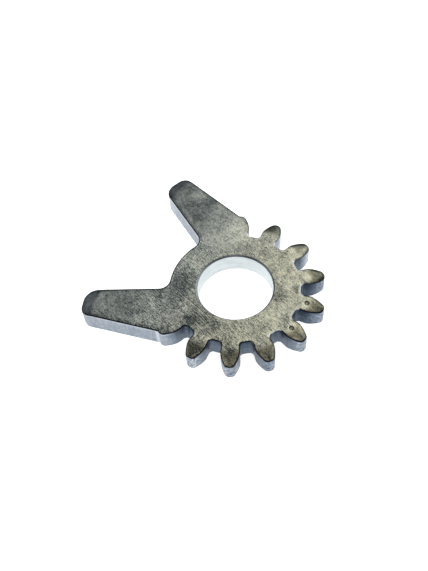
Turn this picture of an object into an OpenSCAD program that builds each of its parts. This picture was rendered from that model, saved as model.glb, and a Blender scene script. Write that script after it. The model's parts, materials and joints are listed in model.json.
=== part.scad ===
// Sector gear: one flat plate, blanked from steel, with a sector of involute teeth in front of its
// bore and two tapered arms behind it. The bore axis is Z, the middle of the teeth points along +X and
// the mid plane of the plate is z = 0. The punched edges are rolled over on the top face, most at the
// tooth tips, and the bottom face is flat.

/* [Plate] */
// Thickness of the plate
plate_t = 6; // [3:0.5:12]
// Diameter of the bore
bore_d = 20; // [8:0.5:26]
// Bevel on both ends of the bore
bore_bevel = 0.4; // [0.1:0.1:1]
// Radius of the rim behind the bore, between the arms
rear_rim_r = 17.6; // [15:0.1:24]

/* [Teeth] */
// Module: pitch diameter for each tooth of the full circle
gear_module = 3; // [2.5:0.1:5]
// Number of teeth that a full circle would have
full_circle_teeth = 14; // [12:1:20]
// Number of free teeth between the two arms
free_teeth = 8; // [3:1:8]
// Pressure angle of the flanks, in degrees
pressure_angle = 20; // [14.5:0.5:25]
// Height of a tooth above the pitch circle, in modules
addendum_factor = 1; // [0.7:0.05:1]
// Depth of a tooth below the pitch circle, in modules
dedendum_factor = 1.25; // [1.1:0.05:1.4]
// Radius between a flank and the root
root_fillet_r = 1.1; // [0.2:0.1:1.6]
// Radius on the corners of the tooth tips
tip_corner_r = 1.5; // [0.1:0.1:1.8]

/* [Arms] */
// Angle from the middle of the end tooth to the outer edge of an arm, in degrees
arm_splay = 50.3; // [40:0.1:60]
// Angle between the inner and outer edges of an arm, in degrees
arm_taper = 15.6; // [8:0.1:20]
// How far past the middle of the end tooth an arm begins, in degrees
arm_start = 1; // [0:0.1:2]
// Distance from the bore axis to the end of an arm
arm_reach = 39.4; // [34:0.1:60]
// Radius of the end corner on the inner edge
inner_corner_r = 3.9; // [1:0.1:4.5]
// Radius of the end corner on the outer edge
outer_corner_r = 2.6; // [1:0.1:4.5]
// Radius between an arm and the rear rim
arm_fillet_r = 3; // [0.5:0.1:5]

/* [Rolled edges] */
// Depth of the roll at the tooth tips
tip_roll_depth = 0.87; // [0.2:0.01:1.5]
// Distance from the root circle to where a tooth begins to roll over
tip_roll_start = 1.35; // [0.6:0.05:2.5]
// Depth of the roll along the arms and the rear rim
edge_roll_depth = 0.25; // [0.05:0.01:0.6]
// Width of the roll along the arms and the rear rim
edge_roll_w = 1.2; // [0.3:0.1:2.5]
// Depth of the roll at the ends of the arms
end_roll_depth = 0.5; // [0.1:0.01:1]
// Width of the roll at the ends of the arms
end_roll_w = 3; // [0.5:0.1:6]

/* [Timing marks] */
// Distance of the punch marks from the bore axis
mark_r = 19.4; // [18:0.1:22]
// Diameter of a punch mark
mark_d = 1.35; // [0.5:0.05:2]
// Depth of a punch mark
mark_depth = 0.4; // [0.1:0.05:0.9]

/* [Hidden] */
$fn = 96;

// Number of straight steps in a flank, in a fillet and across a rolled edge
flank_steps = 8;
fillet_steps = 6;
roll_steps = 4;
// Angle of one step on a long arc
arc_step = 4;
// Length by which a cut passes through a face, and by which a rolled edge is cut beyond the outline
clear = 1;
cut_margin = 2;

// Tooth form
pitch_angle = 360 / full_circle_teeth;
pitch_r = gear_module * full_circle_teeth / 2;
base_r = pitch_r * cos(pressure_angle);
tip_r = pitch_r + addendum_factor * gear_module;
root_r = pitch_r - dedendum_factor * gear_module;
base_half_angle = half_tooth_angle(base_r);
// The root fillet ends below the base circle, and two of them fit side by side in a tooth space
space_sine = sin(pitch_angle / 2 - base_half_angle);
full_round_r = root_r * space_sine / (1 - space_sine);
below_base_r = (base_r ^ 2 - root_r ^ 2) / (2 * root_r);
root_corner_r = min(root_fillet_r, full_round_r, below_base_r);
// The two rounds of a tooth tip take up no more than this share of the tip
tip_round_share = 0.9;
tip_half_angle = half_tooth_angle(tip_r);
tip_turn = 90 - acos(base_r / tip_r) + tip_half_angle;
full_tip_r = tip_r * sin(tip_half_angle) / tan(tip_turn / 2);
tip_round_r = min(tip_corner_r, tip_round_share * full_tip_r);

// Directions of an arm: the end tooth that it grows from, its edges and its middle line
end_tooth_angle = (free_teeth + 1) / 2 * pitch_angle;
outer_angle = end_tooth_angle + arm_splay;
inner_angle = outer_angle - arm_taper;
middle_angle = (outer_angle + inner_angle) / 2;
arm_start_point = polar(tip_r, end_tooth_angle + arm_start);
arm_outer_end = arm_start_point
    + polar(arm_reach - arm_start_point * polar(1, middle_angle), outer_angle) / cos(arm_taper / 2);
arm_inner_end = polar(arm_reach / cos(arm_taper / 2), inner_angle);

// The crown of a tooth is a round that leans outwards and leaves the flat face between the root middles
tooth_half_w = root_r * sin(pitch_angle / 2);
crown_slope = tip_roll_depth / (tip_r - root_r - tip_roll_start);
crown_r = tooth_half_w ^ 2 / (2 * crown_slope * tip_roll_start);

function polar(r, angle) = [r * cos(angle), r * sin(angle)];
function direction_of(v) = atan2(v.y, v.x);
function flipped(points) = [for (i = [len(points) - 1:-1:0]) [points[i].x, -points[i].y]];
function turned(points, angle) = [
    for (p = points) [p.x * cos(angle) - p.y * sin(angle), p.x * sin(angle) + p.y * cos(angle)]
];
function arc(centre, r, from, to, steps) = [
    for (i = [0:steps]) centre + polar(r, from + (to - from) * i / steps)
];

// Involute function and half the angle that a tooth takes up at a radius, both in degrees
function involute(angle) = tan(angle) * 180 / PI - angle;
function half_tooth_angle(r) =
    pitch_angle / 4 + involute(pressure_angle) - involute(acos(min(1, base_r / r)));

// Concave fillet from a radial edge onto a circle about the bore axis
function fillet_centre_angle(edge_angle, circle_r, r) = edge_angle + asin(r / (circle_r + r));
function fillet(edge_angle, circle_r, r) =
    let (centre_angle = fillet_centre_angle(edge_angle, circle_r, r))
    arc(polar(circle_r + r, centre_angle), r, edge_angle - 90, centre_angle - 180, fillet_steps);

// Round corner at b on the way from a to c
function round_corner(a, b, c, r) =
    let (
        back = (a - b) / norm(a - b),
        ahead = (c - b) / norm(c - b),
        half = acos(back * ahead) / 2,
        middle = (back + ahead) / norm(back + ahead),
        centre = b + middle * r / sin(half),
        from = direction_of(b + back * r / tan(half) - centre),
        sweep = 180 - 2 * half
    )
    arc(centre, r, from, from + sweep, fillet_steps);

// One side of a tooth on +X, from its tip corner down the involute and round the root fillet.
// A flank moved sideways by d is the same involute turned by d / base_r, which places the tip corner.
function tooth_side() =
    let (
        corner_centre_r = tip_r - tip_round_r,
        corner_roll = sqrt(corner_centre_r ^ 2 - base_r ^ 2),
        corner_angle = half_tooth_angle(corner_centre_r) - tip_round_r / base_r * 180 / PI,
        corner = polar(corner_centre_r, corner_angle),
        top_roll = corner_roll + tip_round_r,
        top_r = sqrt(base_r ^ 2 + top_roll ^ 2),
        top = polar(top_r, half_tooth_angle(top_r)),
        flank_radii = [
            for (i = [1:flank_steps]) sqrt(base_r ^ 2 + (top_roll * (1 - i / flank_steps)) ^ 2)
        ]
    )
    concat(
        arc(corner, tip_round_r, corner_angle, direction_of(top - corner), fillet_steps),
        [for (r = flank_radii) polar(r, half_tooth_angle(r))],
        fillet(base_half_angle, root_r, root_corner_r)
    );

// All the teeth from the lower arm round to the upper one. The end teeth have only their free sides.
function all_teeth() =
    let (side = tooth_side(), root_middle = [polar(root_r, pitch_angle / 2)])
    concat(
        turned(concat(side, root_middle), -end_tooth_angle),
        [
            for (i = [1:free_teeth])
                each turned(concat(flipped(side), side, root_middle), i * pitch_angle - end_tooth_angle)
        ],
        turned(flipped(side), end_tooth_angle)
    );

// Upper arm from the tip of the end tooth, out along its outer edge and back to the rear rim
function upper_arm() =
    concat(
        [arm_start_point],
        round_corner(arm_start_point, arm_outer_end, arm_inner_end, outer_corner_r),
        round_corner(arm_outer_end, arm_inner_end, [0, 0], inner_corner_r),
        fillet(inner_angle, rear_rim_r, arm_fillet_r)
    );

module gear_outline() {
    arm = upper_arm();
    rim_start = fillet_centre_angle(inner_angle, rear_rim_r, arm_fillet_r);
    rim_steps = ceil((360 - 2 * rim_start) / arc_step);
    rim = arc([0, 0], rear_rim_r, rim_start, 360 - rim_start, rim_steps);
    polygon(concat(all_teeth(), arm, [for (i = [1:rim_steps - 1]) rim[i]], flipped(arm)));
}

// Section of what the roll takes off an edge at x = 0, with the plate at x below 0. The roll deepens
// with the square of the way across its width.
module roll_section(width, depth) {
    top = plate_t / 2;
    roll = [for (i = [0:roll_steps]) [-width * (1 - i / roll_steps), top - depth * (i / roll_steps) ^ 2]];
    polygon(concat(roll, [[cut_margin, top - depth], [cut_margin, top + clear], [-width, top + clear]]));
}

// What the roll takes off a straight edge, with the plate on its left
module edge_roll(from, to, width, depth) {
    translate([to.x, to.y, 0])
        rotate(direction_of(to - from) - 90)
            rotate([90, 0, 0])
                linear_extrude(norm(to - from))
                    roll_section(width, depth);
}

// What the roll takes off the upper arm and the free flank of its end tooth
module arm_roll() {
    flank_top = polar(tip_r, end_tooth_angle - tip_half_angle);
    flank_foot = polar(base_r, end_tooth_angle - base_half_angle);
    tip_w = norm(arm_start_point - flank_top) + clear;
    along = polar(1, outer_angle);
    across = polar(1, middle_angle + 90);
    edge_roll(flank_foot, flank_top, edge_roll_w, edge_roll_depth);
    edge_roll(arm_start_point - along * tip_w, arm_outer_end + along * clear, edge_roll_w, edge_roll_depth);
    edge_roll(arm_outer_end - across * clear, arm_inner_end + across * clear, end_roll_w, end_roll_depth);
    edge_roll(
        arm_inner_end + polar(clear, inner_angle),
        fillet(inner_angle, rear_rim_r, arm_fillet_r)[0],
        edge_roll_w,
        edge_roll_depth
    );
}

// What the roll takes off the rim between the arms
module rear_rim_roll() {
    start = fillet_centre_angle(inner_angle, rear_rim_r, arm_fillet_r);
    rotate(start)
        rotate_extrude(angle = 360 - 2 * start)
            translate([rear_rim_r, 0])
                roll_section(edge_roll_w, edge_roll_depth);
}

// What the roll takes off the top of a tooth on +X
module tooth_roll() {
    difference() {
        translate([root_r, -tooth_half_w, 0])
            cube([tip_r - root_r + clear, 2 * tooth_half_w, plate_t]);
        translate([root_r + tip_roll_start, 0, plate_t / 2])
            rotate([0, 90 + atan(crown_slope), 0])
                translate([crown_r, 0, 0])
                    cylinder(r = crown_r, h = 2 * tip_r, center = true);
    }
}

module bore() {
    cylinder(h = plate_t + 2 * clear, d = bore_d, center = true);
    for (side = [0, 1])
        mirror([0, 0, side])
            translate([0, 0, plate_t / 2 - bore_bevel])
                cylinder(h = bore_bevel + clear, r1 = bore_d / 2, r2 = bore_d / 2 + bore_bevel + clear);
}

// Round dimples on the two teeth beside the middle of the sector
module timing_marks() {
    ball_r = (mark_d ^ 2 / 4 + mark_depth ^ 2) / (2 * mark_depth);
    for (side = [-1, 1])
        rotate(side * pitch_angle / 2)
            translate([mark_r, 0, plate_t / 2 + ball_r - mark_depth])
                sphere(ball_r);
}

module sector_gear() {
    color([0.52, 0.52, 0.47])
        difference() {
            linear_extrude(plate_t, center = true)
                gear_outline();
            arm_roll();
            mirror([0, 1, 0])
                arm_roll();
            rear_rim_roll();
            for (i = [1:free_teeth])
                rotate(i * pitch_angle - end_tooth_angle)
                    tooth_roll();
            bore();
            timing_marks();
        }
}

sector_gear();
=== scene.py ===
"""Sector gear: the looks of one blanked steel plate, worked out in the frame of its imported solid.

Sizes are millimetres in the part's own frame: the bore axis is Z, the middle of the teeth points along
+X and the mid plane of the plate is z = 0. Meshes are handed over in metres.
"""

import json
import logging
import math
from dataclasses import dataclass, field
from enum import Enum
from functools import partialmethod
from typing import ClassVar, Union

import bpy
import numpy as np
from mathutils import Matrix, Vector
from mathutils.geometry import delaunay_2d_cdt


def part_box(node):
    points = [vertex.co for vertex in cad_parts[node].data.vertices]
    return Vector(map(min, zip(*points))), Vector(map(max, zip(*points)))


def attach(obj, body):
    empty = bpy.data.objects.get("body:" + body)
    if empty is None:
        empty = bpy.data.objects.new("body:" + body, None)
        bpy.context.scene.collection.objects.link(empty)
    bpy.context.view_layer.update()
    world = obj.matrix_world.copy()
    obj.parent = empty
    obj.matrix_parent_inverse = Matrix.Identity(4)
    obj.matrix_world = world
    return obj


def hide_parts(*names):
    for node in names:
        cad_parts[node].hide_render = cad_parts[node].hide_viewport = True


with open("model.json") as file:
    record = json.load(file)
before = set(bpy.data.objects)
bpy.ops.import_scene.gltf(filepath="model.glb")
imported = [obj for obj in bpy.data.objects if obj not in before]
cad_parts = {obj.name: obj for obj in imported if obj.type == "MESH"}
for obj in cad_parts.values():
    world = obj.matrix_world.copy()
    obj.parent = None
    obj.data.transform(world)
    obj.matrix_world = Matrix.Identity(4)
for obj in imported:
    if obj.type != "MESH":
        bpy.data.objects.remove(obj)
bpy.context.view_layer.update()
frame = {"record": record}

MM = 0.001
SAME_POINT = 1e-4
WELD = 1e-6
CHUNK = 1500
NODE = "sector_gear"
BODY = "root"

Array = np.ndarray
Triple = tuple[float, float, float]
Number = Union["Value", float]
Given = Union["Value", float, Triple]
Inputs = dict[str | int, Given]

logging.basicConfig(level=logging.INFO, format="%(name)s: %(message)s")
log = logging.getLogger("sector_gear")


class Zone(Enum):
    """Surfaces of the plate that have a finish of their own. The value is the material's place."""

    FACE = 0
    WALL = 1
    BORE = 2
    UNDERSIDE = 3


class Mark(Enum):
    """Values that the mesh carries at its points for the finishes to read."""

    EDGE = "edge_distance"
    CROWN = "crown_depth"
    ARM_END = "arm_end_depth"
    PUNCH = "punch_radius"
    SPACE = "tooth_space"
    LEVEL = "wall_level"


Marks = dict[Mark, Array | float]


def polar(r: Array | float, angle: Array | float) -> Array:
    """Plan points at radii and angles, in radians, about the bore axis."""
    return np.stack(np.broadcast_arrays(r * np.cos(angle), r * np.sin(angle)), -1)


def arc(centre: Array, r: float, start: float, end: float, step: float) -> Array:
    """Points of an arc from one angle to another: the centre plus r times cosine and sine."""
    count = max(2, math.ceil(abs(end - start) * r / step) + 1)
    return centre + polar(r, np.linspace(start, end, count))


def linked(name: str, data: bpy.types.ID) -> bpy.types.Object:
    """Makes an object of a mesh, a lamp or a camera and links it to the scene.

    Args:
        name: Name of the object.
        data: What it shows.

    Returns:
        The object.
    """
    made = bpy.data.objects.new(name, data)
    bpy.context.scene.collection.objects.link(made)
    return made


def radius(points: Array) -> Array:
    """Distances of plan points from the bore axis."""
    return np.hypot(points[:, 0], points[:, 1])


def lifted(points: Array, z: Array | float) -> Array:
    """Plan points at a height or heights."""
    return np.column_stack([points, np.broadcast_to(z, len(points))])


def line(start: Array, end: Array, step: float) -> Array:
    """Evenly spaced points from one point to another, both included."""
    count = max(2, math.ceil(np.linalg.norm(end - start) / step) + 1)
    return start + np.linspace(0, 1, count)[:, None] * (end - start)


def flipped(points: Array) -> Array:
    """The same points mirrored in the X axis and taken in the opposite order."""
    return points[::-1] * [1, -1]


def turned(points: Array, angle: float) -> Array:
    """The same points turned about the bore axis by an angle in radians."""
    c, s = math.cos(angle), math.sin(angle)
    return points @ np.array([[c, s], [-s, c]])


def smooth_step(value: Array | float, low: float, high: float) -> Array:
    """0 below low, 1 above high, and 3t² - 2t³ between them."""
    t = np.clip((value - low) / (high - low), 0, 1)
    return t * t * (3 - 2 * t)


def round_corner(before: Array, corner: Array, after: Array, r: float, step: float) -> Array:
    """Arc of radius r that touches both lines at a corner, turning either way.

    Args:
        before: A point on the way to the corner.
        corner: The corner.
        after: A point on the way from it.
        r: Radius of the arc.
        step: Longest step along the arc.

    Returns:
        Points of the arc in the direction of travel.
    """
    back = (before - corner) / np.linalg.norm(before - corner)
    ahead = (after - corner) / np.linalg.norm(after - corner)
    half = math.acos(float(back @ ahead)) / 2
    centre = corner + (back + ahead) / np.linalg.norm(back + ahead) * r / math.sin(half)
    spoke = corner + back * r / math.tan(half) - centre
    start = math.atan2(spoke[1], spoke[0])
    side = math.copysign(1, back[1] * ahead[0] - back[0] * ahead[1])
    return arc(centre, r, start, start + side * (math.pi - 2 * half), step)


@dataclass(frozen=True)
class ToothForm:
    """Involute teeth of the sector, as a full circle of them would be cut."""

    gear_module: float = 3.0
    full_circle_teeth: int = 14
    free_teeth: int = 8
    pressure_angle: float = math.radians(20)
    addendum: float = 1.0
    dedendum: float = 1.25
    root_fillet_r: float = 1.1
    tip_corner_r: float = 1.5

    @property
    def pitch(self) -> float:
        """Angle from one tooth to the next."""
        return 2 * math.pi / self.full_circle_teeth

    @property
    def pitch_r(self) -> float:
        """Radius of the pitch circle."""
        return self.gear_module * self.full_circle_teeth / 2

    @property
    def base_r(self) -> float:
        """Radius of the base circle."""
        return self.pitch_r * math.cos(self.pressure_angle)

    @property
    def tip_r(self) -> float:
        """Radius of the tip circle."""
        return self.pitch_r + self.addendum * self.gear_module

    @property
    def root_r(self) -> float:
        """Radius of the root circle."""
        return self.pitch_r - self.dedendum * self.gear_module

    @property
    def end_angle(self) -> float:
        """Angle of the end tooth that an arm grows from."""
        return (self.free_teeth + 1) / 2 * self.pitch

    def half_angle(self, r: Array | float) -> Array:
        """Half the angle that a tooth takes up at a radius.

        A quarter of the pitch, plus the involute function of the pressure angle, less the involute
        function of the angle whose cosine is the base radius over r.

        Args:
            r: Radius or radii.

        Returns:
            Angle or angles, in radians.
        """
        at_r = np.arccos(np.minimum(1, self.base_r / np.asarray(r, float)))
        fixed = self.pitch / 4 + math.tan(self.pressure_angle) - self.pressure_angle
        return fixed - np.tan(at_r) + at_r

    def side(self, step: float) -> Array:
        """One side of a tooth on +X: half the tip, its corner, the involute, a radial foot and the fillet.

        The way along an involute goes with the square of the way it has rolled. A flank moved sideways
        by the corner's radius is the same involute turned by that radius over the base radius, which
        places the corner's centre.

        Args:
            step: Longest step along the path.

        Returns:
            Points from the middle of the tip to the middle of the root.
        """
        corner_r = self.tip_r - self.tip_corner_r
        corner_angle = float(self.half_angle(corner_r)) - self.tip_corner_r / self.base_r
        corner = polar(corner_r, corner_angle)
        top_roll = math.sqrt(corner_r**2 - self.base_r**2) + self.tip_corner_r
        rolls = top_roll * np.sqrt(np.linspace(1, 0, math.ceil((self.tip_r - self.base_r) / step) + 1))
        radii = np.sqrt(self.base_r**2 + rolls**2)
        flank = polar(radii, self.half_angle(radii))
        spoke = flank[0] - corner
        foot = float(self.half_angle(self.base_r))
        fillet = self.fillet(foot, self.root_r, self.root_fillet_r, step / 2)
        root_start = math.atan2(fillet[-1][1], fillet[-1][0])
        return np.concatenate([
            arc(np.zeros(2), self.tip_r, 0, corner_angle, step)[:-1],
            arc(corner, self.tip_corner_r, corner_angle, math.atan2(spoke[1], spoke[0]), step / 3)[:-1],
            flank,
            line(flank[-1], fillet[0], step)[1:-1],
            fillet,
            arc(np.zeros(2), self.root_r, root_start, self.pitch / 2, step)[1:],
        ])

    @staticmethod
    def fillet(edge: float, circle_r: float, r: float, step: float) -> Array:
        """Concave fillet from a radial edge, at an angle, onto a circle about the bore axis."""
        middle = edge + math.asin(r / (circle_r + r))
        return arc(polar(circle_r + r, middle), r, edge - math.pi / 2, middle - math.pi, step)


@dataclass(frozen=True)
class ArmForm:
    """One of the two tapered arms, which grow from the end teeth."""

    splay: float = math.radians(50.3)
    taper: float = math.radians(15.6)
    start: float = math.radians(1)
    reach: float = 39.4
    inner_corner_r: float = 3.9
    outer_corner_r: float = 2.6
    fillet_r: float = 3.0
    step_r: float = 0.4
    rim_r: float = 17.6

    def middle_angle(self, teeth: ToothForm) -> float:
        """Direction of the upper arm's middle line."""
        return teeth.end_angle + self.splay - self.taper / 2

    def corners(self, teeth: ToothForm) -> tuple[Array, Array, Array]:
        """Sharp corners of the upper arm.

        Args:
            teeth: The teeth that the arm adjoins.

        Returns:
            Foot of the outer edge on the tip circle, and the outer and inner corners of the end.
        """
        middle, half = self.middle_angle(teeth), self.taper / 2
        foot = polar(teeth.tip_r, teeth.end_angle + self.start)
        along = self.reach - foot @ polar(1, middle)
        outer_end = foot + polar(along / math.cos(half), middle + half)
        return foot, outer_end, polar(self.reach / math.cos(half), middle - half)

    def upper(self, teeth: ToothForm, step: float) -> Array:
        """Upper arm from the tip of its end tooth, out along the outer edge and back to the rear rim.

        Args:
            teeth: The teeth that the arm adjoins.
            step: Longest step along the path.

        Returns:
            Points of the path.
        """
        foot, outer_end, inner_end = self.corners(teeth)
        inner = self.middle_angle(teeth) - self.taper / 2
        tip = polar(teeth.tip_r, teeth.end_angle)
        foot_round = round_corner(tip, foot, outer_end, self.step_r, step / 3)
        outer_round = round_corner(foot, outer_end, inner_end, self.outer_corner_r, step)
        inner_round = round_corner(outer_end, inner_end, np.zeros(2), self.inner_corner_r, step)
        fillet = ToothForm.fillet(inner, self.rim_r, self.fillet_r, step)
        return np.concatenate([
            foot_round,
            line(foot_round[-1], outer_round[0], 2 * step)[1:-1],
            outer_round,
            line(outer_round[-1], inner_round[0], 2 * step)[1:-1],
            inner_round,
            line(inner_round[-1], fillet[0], 2 * step)[1:-1],
            fillet,
        ])


@dataclass(frozen=True)
class RolledEdges:
    """How the top face sinks towards the punched edges."""

    crown_depth: float = 0.67
    crown_start: float = 1.35
    crown_power: float = 1.5
    shoulder_depth: float = 0.45
    shoulder_w: float = 1.2
    upper_teeth_y: tuple[float, float] = (4.0, 12.0)
    end_depth: float = 0.30
    end_w: float = 4.8
    end_bow_r: float = 14.0
    end_skew: float = 0.14
    rim_depth: float = 0.06
    rim_w: float = 1.1
    edge_r: float = 0.25

    def crown(self, points: Array, teeth: ToothForm) -> Array:
        """Depth of the tooth crowns below the flat face.

        In a tooth's own axes the lean is the way past the crown's start along the tooth, as a share of
        the way to the tip, plus the square of the way across it, scaled to be 0 at the middle of a
        root. The depth is the tip's depth times the lean to the crown's power, and the shoulders' depth
        times the square of the way across times the lean to the fourth power. The far shoulders of the
        upper teeth hardly sink.

        Args:
            points: Plan points.
            teeth: The teeth that the crowns are on.

        Returns:
            Depth at each point.
        """
        angle = np.arctan2(points[:, 1], points[:, 0])
        middle = (teeth.free_teeth - 1) / 2
        place = np.clip(np.round(angle / teeth.pitch + middle), 0, teeth.free_teeth - 1) - middle
        local = angle - place * teeth.pitch
        r = radius(points)
        length = teeth.tip_r - teeth.root_r - self.crown_start
        half_w = teeth.root_r * math.sin(teeth.pitch / 2)
        lean = (r * np.cos(local) - teeth.root_r - self.crown_start) / length
        across = r * np.sin(local)
        lean = np.clip(lean + self.crown_start / length * (across / half_w) ** 2, 0, None)
        depth = self.crown_depth * lean**self.crown_power
        far = smooth_step(across, 0, self.shoulder_w) * smooth_step(points[:, 1], *self.upper_teeth_y)
        depth = depth + (1 - far) * self.shoulder_depth * (across / self.shoulder_w) ** 2 * lean**4
        return np.where(np.abs(angle) < teeth.free_teeth / 2 * teeth.pitch, depth, 0)

    def arm_end(self, points: Array, arm: ArmForm, teeth: ToothForm) -> Array:
        """Depth of the roll at the arm ends.

        The way in from the end is shortened by the square of the way across over twice the bow's
        radius, and by the skew times the way across, which makes the roll wider on the side towards the
        other arm. The depth grows with the square of what is left of the roll's width.

        Args:
            points: Plan points.
            arm: The arms.
            teeth: The teeth that the arms grow from.

        Returns:
            Depth at each point.
        """
        upper = np.stack([points[:, 0], np.abs(points[:, 1])], -1)
        middle = arm.middle_angle(teeth)
        _, outer_end, inner_end = arm.corners(teeth)
        way_in = arm.reach - upper @ polar(1, middle)
        across = (upper - (outer_end + inner_end) / 2) @ polar(1, middle + math.pi / 2)
        way_in = way_in - across**2 / (2 * self.end_bow_r) - self.end_skew * across
        share = 1 - way_in / self.end_w
        return self.end_depth * np.clip(share, 0, None) ** 2

    def edge(self, inset: Array | float) -> Array:
        """Depth of the narrow roll and the quarter round that follow every edge.

        Args:
            inset: Distance in from the outline.

        Returns:
            Depth at each point.
        """
        rim = self.rim_depth * np.clip(1 - inset / self.rim_w, 0, None) ** 2
        rest = np.clip(self.edge_r - inset, 0, self.edge_r)
        return rim + self.edge_r - np.sqrt(self.edge_r**2 - rest**2)


@dataclass(frozen=True)
class PunchMarks:
    """Round dimples of a centre punch on the two teeth beside the middle of the sector."""

    pitch_r: float = 19.4
    r: float = 0.675
    depth: float = 0.36
    lip: float = 0.012
    lip_w: float = 0.2
    patch_r: float = 1.3
    rings: int = 12
    spokes: int = 36

    def centres(self, teeth: ToothForm) -> Array:
        """Plan points of both marks."""
        return polar(self.pitch_r, np.array([-0.5, 0.5]) * teeth.pitch)

    def distance(self, points: Array, teeth: ToothForm) -> Array:
        """Distance of plan points from the nearer mark."""
        return np.linalg.norm(points[:, None] - self.centres(teeth)[None], axis=-1).min(1)

    def drop(self, distance: Array) -> Array:
        """Depth of a mark by distance: a paraboloid, with a low lip of pushed metal round it."""
        bowl = self.depth * np.clip(1 - (distance / self.r) ** 2, 0, None)
        return bowl - self.lip * np.exp(-(((distance - self.r - self.lip_w) / self.lip_w) ** 2))

    def points(self, teeth: ToothForm) -> Array:
        """Rings of points round both marks, from their middles to the rim of the flattened patch.

        Args:
            teeth: The teeth that the marks are on.

        Returns:
            Plan points.
        """
        radii = np.linspace(0, self.patch_r, self.rings + 1)[1:]
        angles = np.linspace(0, 2 * math.pi, self.spokes, endpoint=False)
        ring = polar(radii[:, None], angles[None] + radii[:, None]).reshape(-1, 2)
        disc = np.concatenate([np.zeros((1, 2)), ring])
        return (self.centres(teeth)[:, None] + disc[None]).reshape(-1, 2)


@dataclass
class MeshParts:
    """Points, faces, zones and marks of a mesh while it is put together."""

    points: list[Array] = field(default_factory=list)
    marks: dict[Mark, list[Array]] = field(default_factory=lambda: {m: [] for m in Mark})
    faces: list[list[int]] = field(default_factory=list)
    zones: list[Array] = field(default_factory=list)

    def add_points(self, points: Array, marks: Marks) -> Array:
        """Adds points with their marks. A mark that isn't given is 0.

        Args:
            points: Points, in millimetres.
            marks: Values at the points.

        Returns:
            Numbers of the new points.
        """
        first = sum(map(len, self.points))
        self.points.append(points)
        for mark, values in self.marks.items():
            values.append(np.broadcast_to(marks.get(mark, 0.0), len(points)))
        return np.arange(first, first + len(points))

    def add_faces(self, faces: Array, zone: Zone) -> None:
        """Adds faces of one zone, given as rows of point numbers."""
        self.faces.extend(faces.tolist())
        self.zones.append(np.full(len(faces), zone.value))

    def add_bands(self, rows: list[Array], middle: Zone, face_bands: int) -> None:
        """Joins closed rows of points by bands of quads, from the top face down to the underside.

        Args:
            rows: Point numbers of the rows.
            middle: Zone of the bands between the two faces.
            face_bands: Number of bands that belong to the top face. One belongs to the underside.
        """
        zones = [Zone.FACE] * face_bands + [middle] * (len(rows) - face_bands - 2) + [Zone.UNDERSIDE]
        for upper, lower, zone in zip(rows, rows[1:], zones):
            quads = np.stack([np.roll(upper, -1), upper, lower, np.roll(lower, -1)], -1)
            self.add_faces(quads, zone)

    def to_object(self, name: str, materials: list[bpy.types.Material]) -> bpy.types.Object:
        """Makes the smooth-shaded mesh object, in metres, with its marks as point attributes.

        Args:
            name: Name of the object.
            materials: Materials in the order of the zones.

        Returns:
            The object, linked to the scene.
        """
        mesh = bpy.data.meshes.new(name)
        mesh.from_pydata((np.concatenate(self.points) * MM).tolist(), [], self.faces)
        for material in materials:
            mesh.materials.append(material)
        mesh.polygons.foreach_set("material_index", np.concatenate(self.zones).astype(np.int32))
        mesh.polygons.foreach_set("use_smooth", np.ones(len(self.faces), bool))
        for mark, values in self.marks.items():
            attribute = mesh.attributes.new(mark.value, "FLOAT", "POINT")
            attribute.data.foreach_set("value", np.concatenate(values).astype(np.float32))
        mesh.validate()
        mesh.update()
        return linked(name, mesh)


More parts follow.
